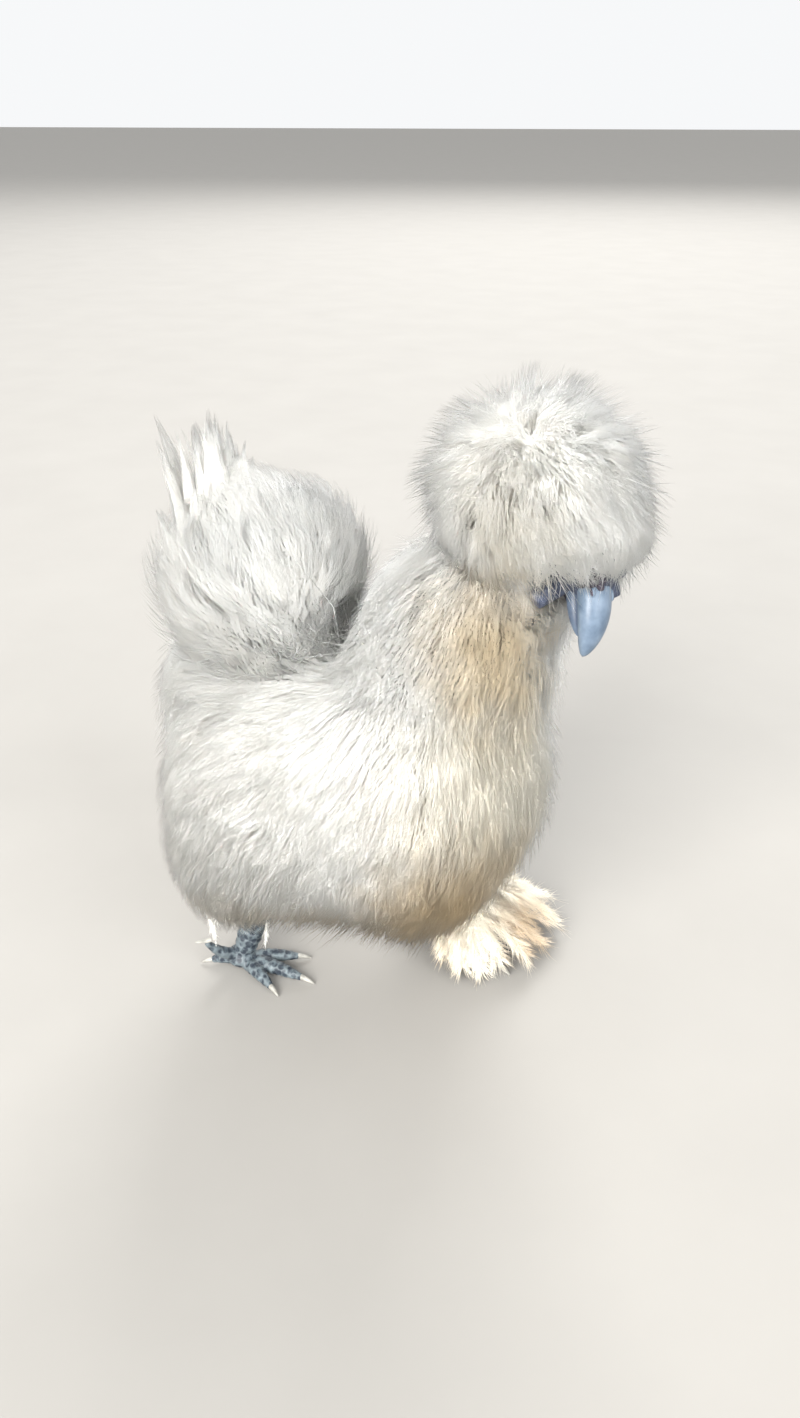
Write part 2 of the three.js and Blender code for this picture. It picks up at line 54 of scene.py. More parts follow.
FEET = {"left": (46, 25), "right": (-58, -26)}
FEET_OUT = math.radians(4)
HEAD_AT = (101.4, -4.2, 246)
HEAD_DOWN = math.radians(50)
HEAD_RIGHT = math.radians(65)
SKULL = (19, 14, 15)
BEAK_LENGTH = 28
EYE_RADIUS = 4.3
SHANK_RADIUS = 5.4
MIDDLE_TOE = 36
CLAW_LENGTH = 11
HOCKS = {"left": (-20, -1, 56), "right": (15, 10, 56)}
SIDES = {"left": 1, "right": -1}
TOES = {
    "middle": {"length": 1, "spread": 0, "thick": 1, "rise": 0},
    "inner": {"length": 0.76, "spread": 27, "thick": 0.92, "rise": 0},
    "outer": {"length": 0.84, "spread": -27, "thick": 0.92, "rise": 0},
    "hind": {"length": 0.46, "spread": 155, "thick": 0.85, "rise": 0},
    "fifth": {"length": 0.52, "spread": 128, "thick": 0.8, "rise": 0.8},
}

HEAD = (
    Matrix.Translation(HEAD_AT) @ Matrix.Rotation(-HEAD_RIGHT, 4, "Z") @ Matrix.Rotation(HEAD_DOWN, 4, "Y")
)
LEGS = {
    side: Matrix.Translation((*foot, 0)) @ Matrix.Rotation(FEET_OUT * SIDES[side], 4, "Z")
    for side, foot in FEET.items()
}
MM = 0.001


def centre_of(node):
    """The middle of a solid's box, in millimetres."""
    low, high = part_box(node)
    return (low + high) / 2 / MM


def eye_at(hand):
    """The middle of an eye on the head. hand is 1 on the left and -1 on the right."""
    return Vector((7, 10.2 * hand, 3.6))


# The frame stands over its own middle: the eyes tell how far the bird was moved for that.
SHIFT = sum(
    (centre_of(f"eye_{side}") - HEAD @ eye_at(hand) for side, hand in SIDES.items()), Vector()
) / 2
SHIFT.z = 0


# The forms of the plumage

SLOPE_STEP = 0.03  # radians over which a slope is taken
SLACK = 0.05  # how much deeper than the coat the skin lies, as a share of the coat
SKIN_AT = 1 + SLACK


class Form:
    """An ellipsoid out to the tips of the plumage, over a coat of the depth given."""

    def __init__(self, at, radii, coat, lean=0):
        self.at = np.array(at, float)
        self.radii = np.array(radii, float)
        self.coat = coat
        turn = math.radians(-lean)
        self.upright = np.array(
            [[math.cos(turn), 0, math.sin(turn)], [0, 1, 0], [-math.sin(turn), 0, math.cos(turn)]]
        )

    def exit(self, start, rays, share):
        """How far along each ray its surface is left, a share of the coat down."""
        radii = self.radii - np.asarray(share)[..., None] * self.coat
        q = self.upright @ (start - self.at) / radii
        v = rays @ self.upright.T / radii
        b = (q * v).sum(-1)
        vv = (v * v).sum(-1)
        free = b * b - vv * ((q * q).sum(-1) - 1)
        return np.where(free > 0, np.maximum((np.sqrt(np.maximum(free, 0)) - b) / vv, 0), 0)


class Plumed:
    """A plumed part. A place on it has an angle from the source, where its coat begins, an angle around
    and a share of the coat that lies above it. Where two forms meet, the crease is filled by the blend."""

    def __init__(self, middle, source, forms, blend=4):
        self.middle = np.array(middle, float)
        turn = Vector((0, 1, 0)).rotation_difference(Vector(source).normalized())
        self.turn = np.array(turn.to_matrix())
        self.forms = forms
        self.blend = blend

    def reach(self, rays, share):
        """How far the surface of all the forms together is from the middle along each ray."""
        total = sum(np.expm1(form.exit(self.middle, rays, share) / self.blend) for form in self.forms)
        return self.blend * np.log1p(total)

    def at(self, polar, around, share):
        """The point of a place."""
        local = np.stack(
            [np.sin(polar) * np.sin(around), np.cos(polar), np.sin(polar) * np.cos(around)], -1
        )
        rays = local @ self.turn.T
        return self.middle + rays * self.reach(rays, share)[..., None]

    def slopes(self, polar, around, share):
        """How a place moves per radian away from the source, and per radian around."""
        here = self.at(polar, around, share)
        away = (self.at(polar + SLOPE_STEP, around, share) - here) / SLOPE_STEP
        beside = (self.at(polar, around + SLOPE_STEP, share) - here) / SLOPE_STEP
        return away, beside

    def holds(self, places, share):
        """Which of the points lie in the part, a share of the coat down."""
        rays = places - self.middle
        far = np.linalg.norm(rays, axis=-1)
        rays = rays / far[..., None]
        return far < self.reach(rays, np.full(far.shape, share))


BODY_COAT = 14
NECK_COAT = 15
CREST_COAT = 16
TAIL_COAT = 19
WING_COAT = 8
THIGH_COAT = 11
CROWN = HEAD @ Vector((-4, 0, 9))

BODY_FORMS = {
    "torso": [
        Form((33, 0, 124), (62, 70, 79), BODY_COAT, 7),
        Form((-28, 0, 114), (66, 74, 73), BODY_COAT),
        Form((-52, 0, 160), (42, 48, 34), BODY_COAT),
        Form((-47, 0, 184), (38, 37, 32), BODY_COAT),
    ],
    "neck": [Form((47, 0, 192), (48, 46, 62), NECK_COAT, 20), Form((72, 0, 222), (30, 28, 26), NECK_COAT)],
    "wing_left": [Form((-8, 24, 131), (60, 54, 43), WING_COAT, 8)],
    "wing_right": [Form((-8, -24, 131), (60, 54, 43), WING_COAT, 8)],
    "thigh_left": [Form((34, 34, 80), (34, 27, 43), THIGH_COAT, -10)],
    "thigh_right": [Form((-48, -34, 84), (34, 27, 43), THIGH_COAT, 20)],
}
BODY_BLEND = 7
body = Plumed((14, 0, 142), (0.4, 0, 0.92), [form for own in BODY_FORMS.values() for form in own], BODY_BLEND)
crest = Plumed(
    (84, 3, 262),
    (-0.55, 0.42, 0.73),
    [Form((79, 6, 262), (47, 47, 45.5), CREST_COAT), Form(CROWN, (23, 20, 16), 5)],
)
tail = Plumed(
    (-44, 0, 208),
    (0.3, 0, -0.95),
    [
        Form((-44, 0, 210), (49, 46, 46), TAIL_COAT),
        Form((-45, 0, 184), (36, 35, 32), 5),
        Form((-50, 0, 228), (18, 18, 36), TAIL_COAT - 9),
        Form((-22, 0, 226), (27, 32, 29), TAIL_COAT - 3),
    ],
)


# Materials


def to_linear(*levels):
    """A colour of a screen, its red, green and blue from 0 to 255, as the shader wants it."""
    shares = [level / 255 for level in levels]
    return tuple(share / 12.92 if share < 0.04 else ((share + 0.055) / 1.055) ** 2.4 for share in shares)


NOISE_ROUGHNESS = 0.55


class Finish:
    """A material and its node tree, with a short way to add a node."""

    def __init__(self, name, **sockets):
        self.material = bpy.data.materials.new(name)
        self.material.use_nodes = True
        self.tree = self.material.node_tree
        self.shader = self.tree.nodes["Principled BSDF"]
        for socket, value in sockets.items():
            self.shader.inputs[socket.replace("_", " ")].default_value = value

    def node(self, kind, settings=None, **inputs):
        made = self.tree.nodes.new(kind)
        for key, value in (settings or {}).items():
            setattr(made, key, value)
        for key, value in inputs.items():
            name = key.replace("_", " ")
            socket = made.inputs[int(key[1:])] if key[1:].isdigit() else made.inputs[name]
            self.feed(socket, value)
        return made

    def feed(self, socket, value):
        """A link or a fixed value into a socket."""
        if isinstance(value, bpy.types.NodeSocket):
            self.tree.links.new(value, socket)
        else:
            socket.default_value = value

    def link(self, output, name):
        self.tree.links.new(output, self.shader.inputs[name])

    def place(self):
        return self.node("ShaderNodeTexCoord").outputs["Object"]

    def noise(self, scale, detail=3):
        made = self.node("ShaderNodeTexNoise", Vector=self.place(), Scale=scale, Detail=detail)
        made.inputs["Roughness"].default_value = NOISE_ROUGHNESS
        return made.outputs["Fac"]

    def distance(self, place, point):
        """How far a place is from a point of the bird."""
        centre = tuple((Vector(point) + SHIFT) * MM)
        made = self.node("ShaderNodeVectorMath", {"operation": "DISTANCE"}, _0=place, _1=centre)
        return made.outputs["Value"]

    def range(self, value, low, high, to_low=0.0, to_high=1.0):
        made = self.node("ShaderNodeMapRange", {"interpolation_type": "SMOOTHSTEP"}, Value=value)
        for name, number in (("From Min", low), ("From Max", high), ("To Min", to_low), ("To Max", to_high)):
            made.inputs[name].default_value = number
        return made.outputs["Result"]

    def math(self, operation, a, b=0.0):
        return self.node("ShaderNodeMath", {"operation": operation}, _0=a, _1=b).outputs[0]

    def mix(self, share, a, b, blend="MIX"):
        made = self.node("ShaderNodeMix", {"data_type": "RGBA", "blend_type": blend})
        for socket, value in ((0, share), (6, a), (7, b)):
            self.feed(made.inputs[socket], (*value, 1) if isinstance(value, tuple) else value)
        return made.outputs[2]

    def bump(self, height, strength, distance):
        made = self.node("ShaderNodeBump", Height=height, Strength=strength, Distance=distance)
        self.link(made.outputs["Normal"], "Normal")


WHITE = to_linear(250, 249, 245)
# a light grey, painted shade for the tail and the back next to it
PAINTED_SHADE_GREY = to_linear(226, 227, 225)
CREAM = to_linear(245, 237, 218)
STRAW = to_linear(240, 219, 182)
TAN = to_linear(218, 194, 154)
DUN = to_linear(226, 220, 206)
BROWN = to_linear(188, 168, 142)
SLATE = to_linear(82, 90, 110)
DARK_SLATE = to_linear(54, 60, 78)

# The markings of the plumage, and a painted shade of grey over the tail and the back next to it: colour,
# middle, inner and outer radius, and strength. A radius of hundreds of millimetres round a middle far
# below the floor makes a level edge across the belly.
MARKS = (
    # painted shade: a soft grey over the tail cushion and the back next to it
    (PAINTED_SHADE_GREY, (-46, 0, 214), 40, 86, 0.6),
    (CREAM, (86, -40, 140), 16, 80, 0.85),
    (STRAW, (72, -33, 212), 0, 46, 0.95),
    (STRAW, (84, -26, 180), 0, 36, 0.5),
    (CREAM, (78, -26, 262), 4, 34, 0.5),
    (TAN, (72, -56, 74), 14, 72, 1),
    (TAN, (30, -20, -400), 446, 490, 0.6),
    (WHITE, (-64, -30, 24), 22, 56, 0.95),
    (DUN, (72, 44, 4), 44, 60, 1),
    (BROWN, (78, 34, 12), 6, 34, 0.9),
)
EDGE_STRAY = 0.03  # how far the edge of a marking wanders, in metres
EDGE_WAVES = 60  # a metre


def plumage_colour(finish):
    """The colour of the plumage at a place, which the skin and every coat piece share."""
    place = finish.place()
    stray = finish.math("MULTIPLY", finish.noise(EDGE_WAVES, detail=2), EDGE_STRAY)
    colour = WHITE
    for tint, middle, inner, outer, strength in MARKS:
        far = finish.math("ADD", finish.distance(place, middle), stray)
        low, high = (radius * MM + EDGE_STRAY / 2 for radius in (inner, outer))
        share = finish.range(far, low, high, to_low=strength, to_high=0)
        colour = finish.mix(share, colour, tint)
    return colour


# painted shade: how dark and warm the strands turn at their roots, deep in the coat
PAINTED_ROOT_SHADE = (0.9, 0.88, 0.84)
DARKEST_TUFT = (0.94, 0.935, 0.92)


def plumage_finish():
    """Down that light passes into, darkened towards the roots by painted shade, and a little darker from tuft
    to tuft.
    """
    finish = Finish("white_plumage", Roughness=0.8, Subsurface_Weight=0.9, Subsurface_Scale=0.006)
    finish.shader.subsurface_method = "BURLEY"
    finish.shader.inputs["Subsurface Radius"].default_value = (1, 0.95, 0.9)
    colour = plumage_colour(finish)
    along, tone = (
        finish.node("ShaderNodeAttribute", {"attribute_name": label}).outputs["Fac"]
        for label in ("along", "tone")
    )
    # painted shade deep in the coat, fading out along the first part of each strand
    rootward_painted_shade = finish.range(along, low=0, high=0.6, to_low=0.4, to_high=0)
    shade = finish.mix(rootward_painted_shade, (1, 1, 1), PAINTED_ROOT_SHADE)
    colour = finish.mix(1.0, colour, shade, "MULTIPLY")
    varied = finish.mix(finish.range(tone, low=0, high=1), DARKEST_TUFT, (1, 1, 1))
    colour = finish.mix(1.0, colour, varied, "MULTIPLY")
    finish.link(colour, "Base Color")
    return finish.material


FACE_MIDDLE = (14, 0, -4)  # on the head
BARE_WITHIN = 0.021  # metres from there
DOWN_BEYOND = 0.026
MOTTLES = 420  # a metre
PORES = 900


def skin_finish():
    """Slate skin on the face, and the colour of the down where the coat grows."""
    finish = Finish("slate_skin_and_down", Roughness=0.6)
    far = finish.distance(finish.place(), HEAD @ Vector(FACE_MIDDLE))
    bare = finish.range(far, BARE_WITHIN, DOWN_BEYOND, to_low=1, to_high=0)
    mottled = finish.mix(finish.range(finish.noise(MOTTLES), low=0.35, high=0.7), DARK_SLATE, SLATE)
    finish.link(finish.mix(bare, plumage_colour(finish), mottled), "Base Color")
    pores = finish.node("ShaderNodeTexVoronoi", Vector=finish.place(), Scale=PORES).outputs["Distance"]
    finish.bump(pores, strength=0.35, distance=0.0006)
    return finish.material


SCUTE_CELLS = 340  # a metre
WORN_PATCHES = 300


def scute_finish():
    """Slate scales, worn in patches, with pale edges."""
    finish = Finish("slate_scutes", Roughness=0.5)
    worn = finish.range(finish.noise(WORN_PATCHES, detail=4), low=0.45, high=0.72)
    slate = finish.mix(worn, to_linear(46, 54, 64), to_linear(104, 116, 122))
    fine = finish.node("ShaderNodeTexVoronoi", Vector=finish.place(), Scale=SCUTE_CELLS)
    pale = finish.range(fine.outputs["Distance"], low=0.4, high=0.68)
    finish.link(finish.mix(finish.math("MULTIPLY", pale, 0.5), slate, to_linear(136, 148, 152)), "Base Color")
    finish.bump(fine.outputs["Distance"], strength=0.6, distance=0.001)
    return finish.material


def plain_finish(name, dark, light, scale, roughness, grain=0.2, depth=0.0004):
    """Two shades of one colour in soft patches, so many to a metre, with a fine grain in relief."""
    finish = Finish(name, Roughness=roughness)
    patches = finish.range(finish.noise(scale), low=0.3, high=0.7)
    finish.link(finish.mix(patches, to_linear(*dark), to_linear(*light)), "Base Color")
    finish.bump(finish.noise(scale * 4, detail=4), strength=grain, distance=depth)
    return finish.material


PLUMAGE = plumage_finish()
SKIN = skin_finish()
SCUTES = scute_finish()
HORN = plain_finish("blue_slate_horn", (84, 101, 120), (117, 133, 151), scale=120, roughness=0.36)
# painted shade: a darker copy of the horn for the lower half of the beak, which lies under the upper half
SHADED_LOWER_HORN = plain_finish("shaded_slate_horn", (66, 78, 98), (98, 114, 134), scale=120, roughness=0.4)
COMB = plain_finish(
    "mulberry_comb", (44, 40, 52), (70, 60, 76), scale=300, roughness=0.55, grain=0.5, depth=0.0008
)
EARLOBE = plain_finish(
    "turquoise_earlobe", (70, 130, 146), (112, 170, 182), scale=260, roughness=0.5, grain=0.4
)
CLAW = plain_finish("pale_claw", (150, 148, 140), (190, 188, 180), scale=240, roughness=0.35)
IRIS = plain_finish("black_brown_eye", (12, 8, 6), (34, 22, 14), scale=500, roughness=0.08, grain=0)


# Pieces


def mesh_of(name, bm):
    """A bmesh as a mesh, and the bmesh freed."""
    mesh = bpy.data.meshes.new(name)
    bm.to_mesh(mesh)
    bm.free()
    return mesh


def shown(name, data):
    """A new object in the scene."""
    made = bpy.data.objects.new(name, data)
    bpy.context.scene.collection.objects.link(made)
    return made


def finish_piece(name, bm, material, slot, *nodes, matrix=None):
    """Moves a bmesh from the bird's millimetres into the frame, and makes it a piece that replaces nodes."""
    if matrix is not None:
        bm.transform(matrix)
    bm.transform(Matrix.Scale(MM, 4) @ Matrix.Translation(SHIFT))
    bmesh.ops.recalc_face_normals(bm, faces=bm.faces)
    mesh = mesh_of(name, bm)
    mesh.materials.append(material)
    mesh.shade_smooth()
    register(name, mesh, slot, *nodes)


def register(name, mesh, slot, *nodes):
    """Puts a piece in the scene and on the frame, in place of the nodes."""
    piece = shown(name, mesh)
    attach(piece, "root")
    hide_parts(*nodes)


def rounded(s):
    """A width that closes at both ends."""
    return math.sin(math.pi * min(max(s, 0), 1)) ** 0.5


def taper(s):
    """A width that is full at the root and closes to a point."""
    return math.sqrt(max(1 - s, 0)) * rounded(0.25 + s * 0.3)


PATH_STEP = 0.01  # the share of a path over which its direction is taken


def sphere(bm, sides, rings):
    """The points of a new ball of radius one."""
    return bmesh.ops.create_uvsphere(bm, u_segments=sides, v_segments=rings, radius=1)["verts"]


def drawn(bm, at, wide, thick=None, up=Vector((0, 0, 1)), sides=24, steps=24, matrix=None):
    """A ball drawn out along a path, closed at both ends, into the bmesh."""
    thick = thick or wide
    for vert in sphere(bm, sides, steps):
        s = math.acos(min(max(-vert.co.z, -1), 1)) / math.pi
        ahead = (at(min(s + PATH_STEP, 1)) - at(max(s - PATH_STEP, 0))).normalized()
        across = up.cross(ahead).normalized()
        upwards = ahead.cross(across)
        ring = math.hypot(vert.co.x, vert.co.y)
        place = at(s)
        if ring > 1e-6:
            place = place + across * (wide(s) * vert.co.x / ring) + upwards * (thick(s) * vert.co.y / ring)
        vert.co = matrix @ place if matrix else place


def ball(bm, at, radii, matrix=None, sides=32, rings=24):
    """An ellipsoid into the bmesh."""
    shape = Matrix.Translation(at) @ Matrix.Diagonal((*radii, 1))
    bmesh.ops.transform(bm, verts=sphere(bm, sides, rings), matrix=matrix @ shape if matrix else shape)


def clay_of(bm):
    """A bmesh as an object for the time in which it is shaped."""
    return shown("clay", mesh_of("clay", bm))


def shaped(clay, *others):
    """The clay as its modifiers leave it, as a new bmesh."""
    result = bmesh.new()
    worked = clay.evaluated_get(bpy.context.evaluated_depsgraph_get())
    result.from_mesh(worked.to_mesh())
    worked.to_mesh_clear()
    for used in (clay, *others):
        mesh = used.data
        bpy.data.objects.remove(used)
        bpy.data.meshes.remove(mesh)
    return result


def joined(first, second):
    """One closed surface round two closed ones."""
    clay, other = clay_of(first), clay_of(second)
    join = clay.modifiers.new("join", "BOOLEAN")
    join.operation = "UNION"
    join.solver = "MANIFOLD"
    join.object = other
    return shaped(clay, other)


def remeshed(bm, voxel, smooth=6):
    """One closed surface round all the balls of a bmesh, as a new bmesh."""
    clay = clay_of(bm)
    fuse = clay.modifiers.new("fuse", "REMESH")
    fuse.mode = "VOXEL"
    fuse.voxel_size = voxel
    soften = clay.modifiers.new("soften", "SMOOTH")
    soften.iterations = smooth
    soften.factor = 0.5
    return shaped(clay)


# Skin


def body_clay():
    """Balls drawn out on to each plumed part, as deep as its coat."""
    bm = bmesh.new()
    for part in (body, crest, tail):
        made = sphere(bm, 80, 60)
        rays = np.array([vert.co.normalized() for vert in made])
        places = part.middle + rays * part.reach(rays, np.full(len(rays), SKIN_AT))[:, None]
        for vert, place in zip(made, places):
            vert.co = place
    return bm


# Balls that the skull, the jaw and the base of the beak are made of: middle and radii on the head
HEAD_BALLS = (
    ((0, 0, 0), SKULL),
    ((6, 0, -6), (13, 10.5, 9.5)),
    ((11, 0, 0), (9, 8.5, 7.5)),
)
NAPE_RADIUS = 11
EYE_RIM = (6.6, 4.6, 6)
LID_STEPS = 20
LID_RING = 4.2
LID_RADIUS = 1.3
CHEEK_REACH = {1: 3, -1: 15}  # across the head: the fold of the right cheek swings out


def cheek_path(s, hand):
    """Down the bare cheek from the corner of the beak to the fold below the ear."""
    return Vector((9 + 9 * s, (7 + CHEEK_REACH[hand] * s) * hand, -3 - 3 * s))


def nape_path(s):
    """From the back of the skull down into the neck."""
    return Vector((-2 - 22 * s, 0, -4 - 10 * s))


def head_clay():
    """Skull, jaw, the base of the beak, the nape, and for each side the rim of the eye, its lids and the
    bare cheek."""
    bm = bmesh.new()
    for at, radii in HEAD_BALLS:
        ball(bm, at, radii, HEAD)
    drawn(bm, nape_path, lambda s: NAPE_RADIUS, matrix=HEAD)
    for hand in SIDES.values():
        ball(bm, (7, 9.2 * hand, 3.6), EYE_RIM, HEAD)
        for step in range(LID_STEPS):
            turn = 2 * math.pi * step / LID_STEPS
            rim = eye_at(hand) + Vector((LID_RING * math.cos(turn), 2 * hand, LID_RING * math.sin(turn)))
            ball(bm, rim, [LID_RADIUS] * 3, HEAD, sides=12, rings=8)
        drawn(bm, lambda s: cheek_path(s, hand), lambda s: 5.4 - 1.6 * s, matrix=HEAD)
    return bm


def toe_path(toe, hand):
    """The middle line of a toe from the foot's middle, on its leg."""
    reach = MIDDLE_TOE * toe["length"]
    turn = math.radians(toe["spread"] * hand)
    rise = toe["rise"] * reach

    def at(s):
        lift = 2.6 + (5 + rise * s * s if rise else 1.6 * math.sin(math.pi * s))
        return Vector((math.cos(turn) * reach * s, math.sin(turn) * reach * s, lift))

    return at


PLATES = {"toe": 9, "shank": 11}  # along the middle toe, and along a shank
STEPS_A_PLATE = 8


def scuted_width(wide, plates):
    """A width that swells towards the edge of each plate and drops back past it."""
    return lambda s: wide(s) * (0.93 + 0.12 * ((s * plates) % 1) ** 1.5)


def leg_clay(side):
    """Toes, the ball of the foot and the shank."""
    hand = SIDES[side]
    leg = LEGS[side]
    bm = bmesh.new()
    for toe in TOES.values():
        wide = lambda s, t=toe["thick"]: 4.7 * t * (1 - 0.3 * s) * rounded(0.12 + 0.8 * s)
        plates = round(PLATES["toe"] * toe["length"])
        steps = plates * STEPS_A_PLATE
        drawn(bm, toe_path(toe, hand), scuted_width(wide, plates), sides=20, steps=steps, matrix=leg)
    ball(bm, (0, 0, 5.2), (8.5, 7.5, 5.2), leg)
    top = Vector(HOCKS[side])
    bottom = Vector((0, 0, 5))
    shank = lambda s: SHANK_RADIUS * (1.3 + 0.25 * abs(2 * s - 1) ** 3) * rounded(0.1 + 0.8 * s)
    drawn(
        bm,
        lambda s: bottom.lerp(top, s),
        scuted_width(shank, PLATES["shank"]),
        up=Vector((1, 0, 0)),
        sides=28,
        steps=PLATES["shank"] * STEPS_A_PLATE,
        matrix=leg,
    )
    return bm


def flat_on_floor(bm):
    """Presses whatever lies below the floor up to it."""
    for vert in bm.verts:
        vert.co.z = max(vert.co.z, 0)


# The grain of each surface in millimetres
BODY_GRAIN = 2.4
HEAD_GRAIN = 0.7
LEG_GRAIN = 0.6

whole = joined(remeshed(body_clay(), BODY_GRAIN), remeshed(head_clay(), HEAD_GRAIN, 3))
finish_piece("skin", whole, SKIN, "skin", "head", "torso")
for side in SIDES:
    leg_skin = remeshed(leg_clay(side), LEG_GRAIN, 2)
    flat_on_floor(leg_skin)
    finish_piece(f"leg_{side}", leg_skin, SCUTES, "scutes", f"shank_{side}", f"foot_{side}")

# Eyes, beak, comb, wattles, earlobes and claws

BEAK_ROLL = Matrix.Rotation(math.radians(-35), 4, "X")  # the beak leans on its side


def swollen(s):
    """A width that stays full far along and then closes to a blunt tip."""
    return max(1 - s**2.2, 0) ** 0.6 * rounded(0.25 + s * 0.3)


def make_beak():
    """The two halves of the beak, the upper one with a swelling under each nostril."""
    on_head = HEAD @ BEAK_ROLL
    upper = bmesh.new()
    drawn(
        upper,
        lambda s: Vector((12 + (BEAK_LENGTH + 1) * s, 0, 1.5 + 2 * s - 11 * s**2.2)),
        lambda s: 8.4 * swollen(s),
        lambda s: 6.6 * swollen(s),
        sides=40,
        steps=48,
    )
    for hand in SIDES.values():
        ball(upper, (18.5, 5.6 * hand, 5.2), (2.6, 1, 1.2))
    finish_piece("beak_top", upper, HORN, "beak", "beak_upper", matrix=on_head)
    lower = bmesh.new()
    drawn(
        lower,
        lambda s: Vector((10 + (BEAK_LENGTH - 5) * s, 0, -5.5 - 2.5 * s)),
        lambda s: 6.6 * swollen(s),
        lambda s: 4.4 * swollen(s),
        sides=32,
        steps=32,
    )
    finish_piece("beak_bottom", lower, SHADED_LOWER_HORN, "beak", "beak_lower", matrix=on_head)
    nostrils = bmesh.new()
    for hand in SIDES.values():
        ball(nostrils, (19, 6 * hand, 5.4), (1.7, 0.9, 0.6))
    finish_piece("nostrils", nostrils, COMB, "beak", "beak_upper", matrix=on_head)


COMB_BULBS = 11
COMB_BULB = (1.9, 1.9, 1.8)
GOLDEN_TURN = 2.399963  # radians


def make_comb():
    """A low cushion of small bulbs above the base of the beak."""
    bm = bmesh.new()
    for i in range(COMB_BULBS):
        turn = GOLDEN_TURN * i
        far = 1.7 * math.sqrt(i)
        at = (13 + far * math.cos(turn) * 0.85, far * math.sin(turn), 10.2 - 0.14 * far**2)
        ball(bm, at, COMB_BULB)
    finish_piece("comb_bulbs", remeshed(bm, 0.35, 1), COMB, "comb", "comb", matrix=HEAD)


def make_side(side, hand):
    """The eye, wattle, earlobe and claws of one side."""
    eye = bmesh.new()
    ball(eye, eye_at(hand), (EYE_RADIUS, EYE_RADIUS * 0.92, EYE_RADIUS))
    finish_piece(f"eyeball_{side}", eye, IRIS, "eye", f"eye_{side}", matrix=HEAD)
    wattle = bmesh.new()
    ball(wattle, (13, 4.6 * hand, -14), (3.6, 1.8, 5.2))
    ball(wattle, (11.5, 4.8 * hand, -17), (2.6, 1.6, 3))
    finish_piece(f"wattle_fold_{side}", remeshed(wattle, 0.4), COMB, "comb", f"wattle_{side}", matrix=HEAD)
    lobe = bmesh.new()
    ball(lobe, (-2, 13 * hand, -7.5), (4.2, 2.4, 5))
    finish_piece(f"ear_{side}", lobe, EARLOBE, "earlobe", f"earlobe_{side}", matrix=HEAD)
    for name, toe in TOES.items():
        at = toe_path(toe, hand)
        end = at(1)
        ahead = end - at(0.9)
        ahead.z = 0
        ahead.normalize()
        length = CLAW_LENGTH * (0.6 + 0.4 * toe["length"])
        tip = 2 if toe["rise"] else -2.4
        path = lambda s: end + ahead * (length * (s - 0.35)) + Vector((0, 0, 0.6 + tip * s * s))
        claw = bmesh.new()
        drawn(claw, path, lambda s: 1.9 * taper(s) * toe["thick"], lambda s: 1.8 * taper(s) * toe["thick"])
        claw.transform(LEGS[side])
        flat_on_floor(claw)
        finish_piece(f"nail_{name}_{side}", claw, CLAW, "claw", f"claw_{name}_{side}")


make_beak()
make_comb()
for side, hand in SIDES.items():
    make_side(side, hand)

# The coat

SECTION = 3  # sides of a strand
FLATNESS = 0.55
FLOOR_CLEAR = 2
UV_PATCH = 0.003  # the size of a strand's patch
TUFT_TONE = 0.6  # the share of a strand's tone that it has in common with its tuft
# Stations of the strands of single feathers, and of the quills that they grow on
FEATHER_STATIONS = 4
QUILL_STATIONS = 9
# How far the shading of a strand follows the body under it, where it lies on it and where it stands free
LYING = 0.95
FREE = 0.5


def unit(v):
    """Vectors of length one."""
    return v / np.maximum(np.linalg.norm(v, axis=-1, keepdims=True), 1e-9)


def strand_faces(rings):
    """The faces of one tapered strand: its root, its sides and its tip."""
    faces = [list(range(SECTION))[::-1]]
    for ring in range(rings - 1):
        low, high = ring * SECTION, (ring + 1) * SECTION
        for i in range(SECTION):
            j = (i + 1) % SECTION
            faces.append([low + i, low + j, high + j, high + i])
    last = (rings - 1) * SECTION
    for i in range(SECTION):
        faces.append([last + i, last + (i + 1) % SECTION, rings * SECTION])
    return faces


